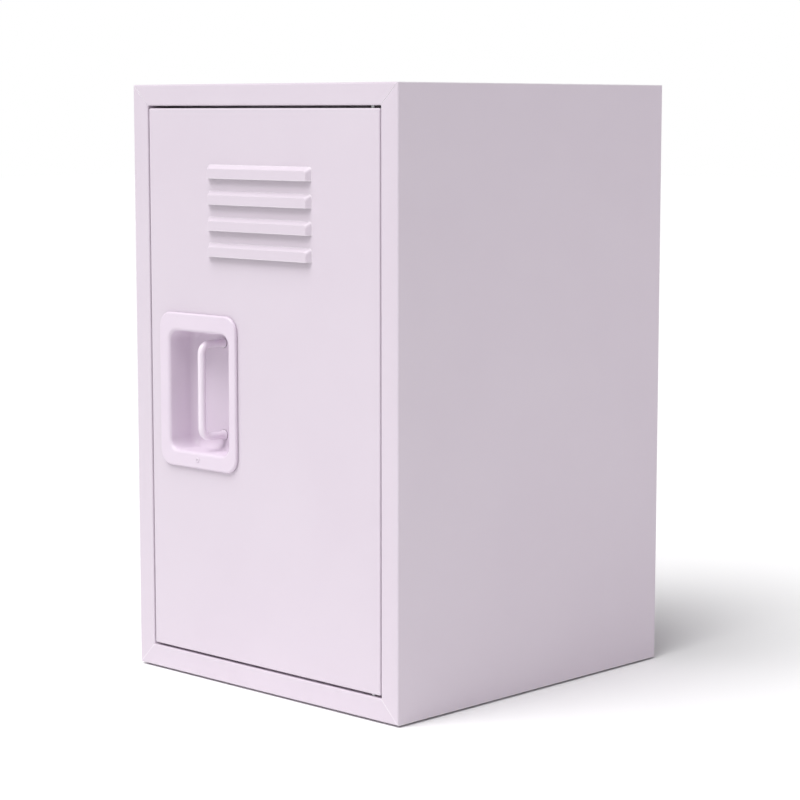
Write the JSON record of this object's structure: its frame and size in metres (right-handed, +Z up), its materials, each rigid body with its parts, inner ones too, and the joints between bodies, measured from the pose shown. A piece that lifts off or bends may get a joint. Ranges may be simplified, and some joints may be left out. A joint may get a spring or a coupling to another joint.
{
  "type": "locker cabinet",
  "caption": "Compact free-standing steel locker with an inset louvred door on hidden pin hinges, a recessed grip handle, an inner shelf and rubber feet.",
  "frame": {"origin": "on the floor under the middle of the whole object", "axes": "+Z up, the door faces -Y, +X to the right seen from the front"},
  "size_m": [0.35, 0.372, 0.562],
  "materials": {
    "shell_paint": "pale lilac powder coat, fine texture, satin",
    "door_paint": "pale lilac powder coat, fine texture, satin",
    "inside_paint": "pale lilac powder coat, satin",
    "handle_plastic": "moulded lilac plastic, semi-gloss",
    "grip_plastic": "moulded lilac plastic, semi-gloss",
    "screw_cap": "lilac coated screw head",
    "zinc_steel": "zinc plated steel",
    "bush_nylon": "natural white nylon",
    "catch_plastic": "white moulded plastic",
    "magnet_metal": "dark nickel plated magnet",
    "soft_rubber": "black rubber"
  },
  "bodies": {
    "cabinet": {"side_panel_right": "shell_paint", "side_panel_left": "shell_paint", "top_panel": "shell_paint", "bottom_panel": "shell_paint", "back_panel": "shell_paint", "back_rivets": "zinc_steel", "upright_front_right": "inside_paint", "upright_front_left": "inside_paint", "upright_rear_right": "inside_paint", "upright_rear_left": "inside_paint", "shelf": "inside_paint", "shelf_clips": "zinc_steel", "hinge_bracket_upper": "inside_paint", "hinge_bracket_lower": "inside_paint", "hinge_pin_upper": "zinc_steel", "hinge_pin_lower": "zinc_steel", "catch_housing": "catch_plastic", "catch_magnet": "magnet_metal", "catch_screws": "zinc_steel", "door_bumpers": "soft_rubber", "rubber_feet": "soft_rubber"},
    "door": {"door_panel": "door_paint", "door_stiffener": "inside_paint", "hinge_plate_upper": "zinc_steel", "hinge_plate_lower": "zinc_steel", "hinge_bush_upper": "bush_nylon", "hinge_bush_lower": "bush_nylon", "handle_cup": "handle_plastic", "grip_bar": "grip_plastic", "grip_screws": "zinc_steel", "handle_screw": "screw_cap", "handle_nut": "zinc_steel"}
  },
  "joints": [
    {"name": "door_hinge", "type": "hinge", "parent": "cabinet", "child": "door", "pos_m": [0.141, -0.1762, 0.282], "axis": [0, 0, 1], "range_deg": [0, 120]}
  ]
}
